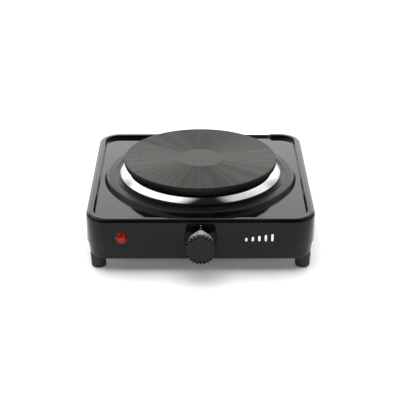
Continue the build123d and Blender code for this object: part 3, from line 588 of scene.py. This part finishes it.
def make_pointer():
    """The smooth teardrop body behind the grip; its point marks the setting."""
    radius, half_angle, turns = 12.2, math.radians(35), 144
    apex_round = math.radians(6)
    place = on_panel(0, KNOB_Z)

    def ring(out, inset):
        points = []
        for k in range(turns):
            angle = 2 * math.pi * k / turns
            from_top = abs((angle + math.pi) % (2 * math.pi) - math.pi)
            reach = radius
            if from_top < half_angle:
                reach = radius / math.cos(half_angle - max(from_top, apex_round))
            points.append(place(reach - inset, out, angle))
        return points

    back, front = 7.0, KNOB_OUT - 7.5
    rings = [[place(0, back - 3.2, 0)], ring(back - 3.2, 3.2), ring(back - 0.1, 2.9), ring(back, 0.7)]
    rings += [ring(back + 0.25, 0.2), ring(back + 0.8, 0.0), ring(front - 1.0, 0.0), ring(front, 0.0)]
    rings.append([place(0, front, 0)])
    shell = skin(rings, closed=False)
    pointer = finish_piece("knob_pointer", shell, "knob_plastic", "knob", "control_knob", 50)
    # the pointer's grey is partly its own colour and partly painted sheen for the light on its top
    pointer.data.materials[0] = MATERIALS["pointer_grey_and_sheen"]


def make_bezel():
    """The glossy cone round the knob, hollow behind over the screw heads."""
    edge = BEZEL_R
    profile = [(5.4, 0), (5.4, BEZEL_T)]
    profile += bend((9.6, BEZEL_T), (10.6, BEZEL_T), (11.5, BEZEL_T - 0.37), 6)
    profile += bend((edge - 1.0, 1.2), (edge - 0.1, 0.85), (edge, 0.35), 6)
    profile += [(edge, 0.35), (edge, 0), (edge - 0.7, 0), (13.2, 1.5), (10.4, 2.5), (7.0, 2.5), (7.0, 0)]
    bm = lathe(profile, on_panel(0, KNOB_Z))
    finish_piece("bezel_cone", bm, "bezel_plastic", "housing", "dial_bezel", 35)


def make_lens():
    """The domed lens with its flange and the barrel that goes through the panel."""
    profile = [(0, LENS_OUT)]
    dome = bend((0, LENS_OUT), (LENS_R * 0.62, LENS_OUT), (LENS_R - 0.25, 0.95), 14)
    profile += dome[1:]
    profile += bend((LENS_R - 0.25, 0.95), (LENS_R, 0.8), (LENS_R, 0.5), 4)
    profile += [(LENS_R, 0.5), (LENS_R, 0), (4.6, 0), (4.6, -9.0), (3.4, -9.0), (3.4, 1.6), (0, 1.6)]
    bm = lathe(profile, on_panel(LENS_X, LENS_Z), 96)
    finish_piece("lens_dome", bm, "red_lens", "housing", "lamp_lens", 50)


make_grip()
make_pointer()
make_bezel()
make_lens()


# ---- stage, light and camera --------------------------------------------------------
BACKDROP = 4.3
AMBIENT = 0.02
# each light's direction, half angle in degrees, and strength
SOFT_LIGHTS = [
    ((-0.60, 0.06, 0.78), 40, 1.7),
    ((0.68, 0.08, 0.73), 34, 0.92),
    ((0.0, 0.52, 0.86), 22, 1.0),
]
CAMERA_LENS = 105.7
CAMERA_AT = (-0.00346, -1.1081 + CENTRE.y * MM, 0.5504)
CAMERA_LOOK = (0.00255, 0.90442, -0.42665)


def make_stage():
    """A plain white table top."""
    mesh = bpy.data.meshes.new("floor")
    reach = 6.0
    corners = [(-reach, -reach, 0), (reach, -reach, 0), (reach, reach, 0), (-reach, reach, 0)]
    mesh.from_pydata(corners, [], [(0, 1, 2, 3)])
    floor = bpy.data.objects.new("floor", mesh)
    bpy.context.collection.objects.link(floor)
    shader = Shader("white_table", (0.86, 0.855, 0.85), 0.6)
    shader.two_tones(shader.remap(shader.noise(3), 0, 1), (0.84, 0.835, 0.83), (0.88, 0.875, 0.87))
    floor.data.materials.append(shader.material)


def softbox(name, towards, distance, width, height, radiance):
    """A large soft light facing the object, kept out of its reflections."""
    light = bpy.data.lights.new(name, "AREA")
    light.shape = "RECTANGLE"
    light.size = width
    light.size_y = height
    light.energy = radiance * math.pi * width * height
    lamp = bpy.data.objects.new(name, light)
    direction = Vector(towards).normalized()
    lamp.location = CENTRE * MM + direction * distance
    lamp.rotation_mode = "QUATERNION"
    lamp.rotation_quaternion = direction.to_track_quat("Z", "Y")
    bpy.context.collection.objects.link(lamp)
    lamp.visible_glossy = False


def make_world():
    """A white studio: a bright backdrop, soft lights overhead, and plain white to the eye."""
    world = bpy.data.worlds.new("studio")
    bpy.context.scene.world = world
    world.use_nodes = True
    tree = world.node_tree
    tree.nodes.clear()
    place = tree.nodes.new("ShaderNodeTexCoord")
    split = tree.nodes.new("ShaderNodeSeparateXYZ")
    tree.links.new(place.outputs["Generated"], split.inputs["Vector"])

    def ramp(source, start, end, low, high):
        made = tree.nodes.new("ShaderNodeMapRange")
        made.interpolation_type = "SMOOTHSTEP"
        for socket, value in (("From Min", start), ("From Max", end), ("To Min", low), ("To Max", high)):
            made.inputs[socket].default_value = value
        tree.links.new(source, made.inputs["Value"])
        return made.outputs["Result"]

    def combine(kind, first, second):
        made = tree.nodes.new("ShaderNodeMath")
        made.operation = kind
        for socket, value in zip(made.inputs, (first, second)):
            if isinstance(value, (int, float)):
                socket.default_value = value
            else:
                tree.links.new(value, socket)
        return made.outputs["Value"]

    # the backdrop stands behind the object, and fades overhead, near the table and to the sides
    behind = ramp(split.outputs["Y"], -0.15, 0.35, 0.0, 1.0)
    low = ramp(split.outputs["Z"], 0.25, 0.97, 1.0, 0.0)
    raised = ramp(split.outputs["Z"], 0.0, 0.28, 0.3, 1.0)
    sideways = combine("ABSOLUTE", split.outputs["X"], 0.0)
    centred = ramp(sideways, 0.35, 0.75, 1.0, 0.19)
    height = combine("MULTIPLY", low, raised)
    spread_out = combine("MULTIPLY", behind, centred)
    backdrop = combine("MULTIPLY", combine("MULTIPLY", spread_out, height), BACKDROP)
    studio = combine("ADD", backdrop, AMBIENT)
    for towards, spread, strength in SOFT_LIGHTS:
        facing = tree.nodes.new("ShaderNodeVectorMath")
        facing.operation = "DOT_PRODUCT"
        facing.inputs[1].default_value = Vector(towards).normalized()
        tree.links.new(place.outputs["Generated"], facing.inputs[0])
        edge = math.cos(math.radians(spread))
        core = math.cos(math.radians(spread * 0.45))
        studio = combine("ADD", studio, ramp(facing.outputs["Value"], edge, core, 0.0, strength))
    sky = tree.nodes.new("ShaderNodeBackground")
    tree.links.new(studio, sky.inputs["Strength"])
    plain = tree.nodes.new("ShaderNodeBackground")
    plain.inputs["Strength"].default_value = 1.0
    rays = tree.nodes.new("ShaderNodeLightPath")
    mix = tree.nodes.new("ShaderNodeMixShader")
    out = tree.nodes.new("ShaderNodeOutputWorld")
    tree.links.new(rays.outputs["Is Camera Ray"], mix.inputs["Fac"])
    tree.links.new(sky.outputs["Background"], mix.inputs[1])
    tree.links.new(plain.outputs["Background"], mix.inputs[2])
    tree.links.new(mix.outputs["Shader"], out.inputs["Surface"])


def make_camera():
    """The photograph's view: straight on, about 25 degrees down, a long lens."""
    camera = bpy.data.objects.new("camera", bpy.data.cameras.new("camera"))
    camera.data.lens = CAMERA_LENS
    camera.data.sensor_width = 36.0
    camera.location = CAMERA_AT
    camera.rotation_mode = "QUATERNION"
    camera.rotation_quaternion = Vector(CAMERA_LOOK).to_track_quat("-Z", "Y")
    bpy.context.collection.objects.link(camera)
    bpy.context.scene.camera = camera


make_stage()
make_world()
softbox("top_fill", (0, -0.1, 1), 2.4, 2.6, 2.6, 3.2)
softbox("front_fill", (0, -0.95, 0.32), 2.2, 3.0, 0.9, 3.8)
make_camera()
bpy.context.scene.view_settings.view_transform = "Standard"
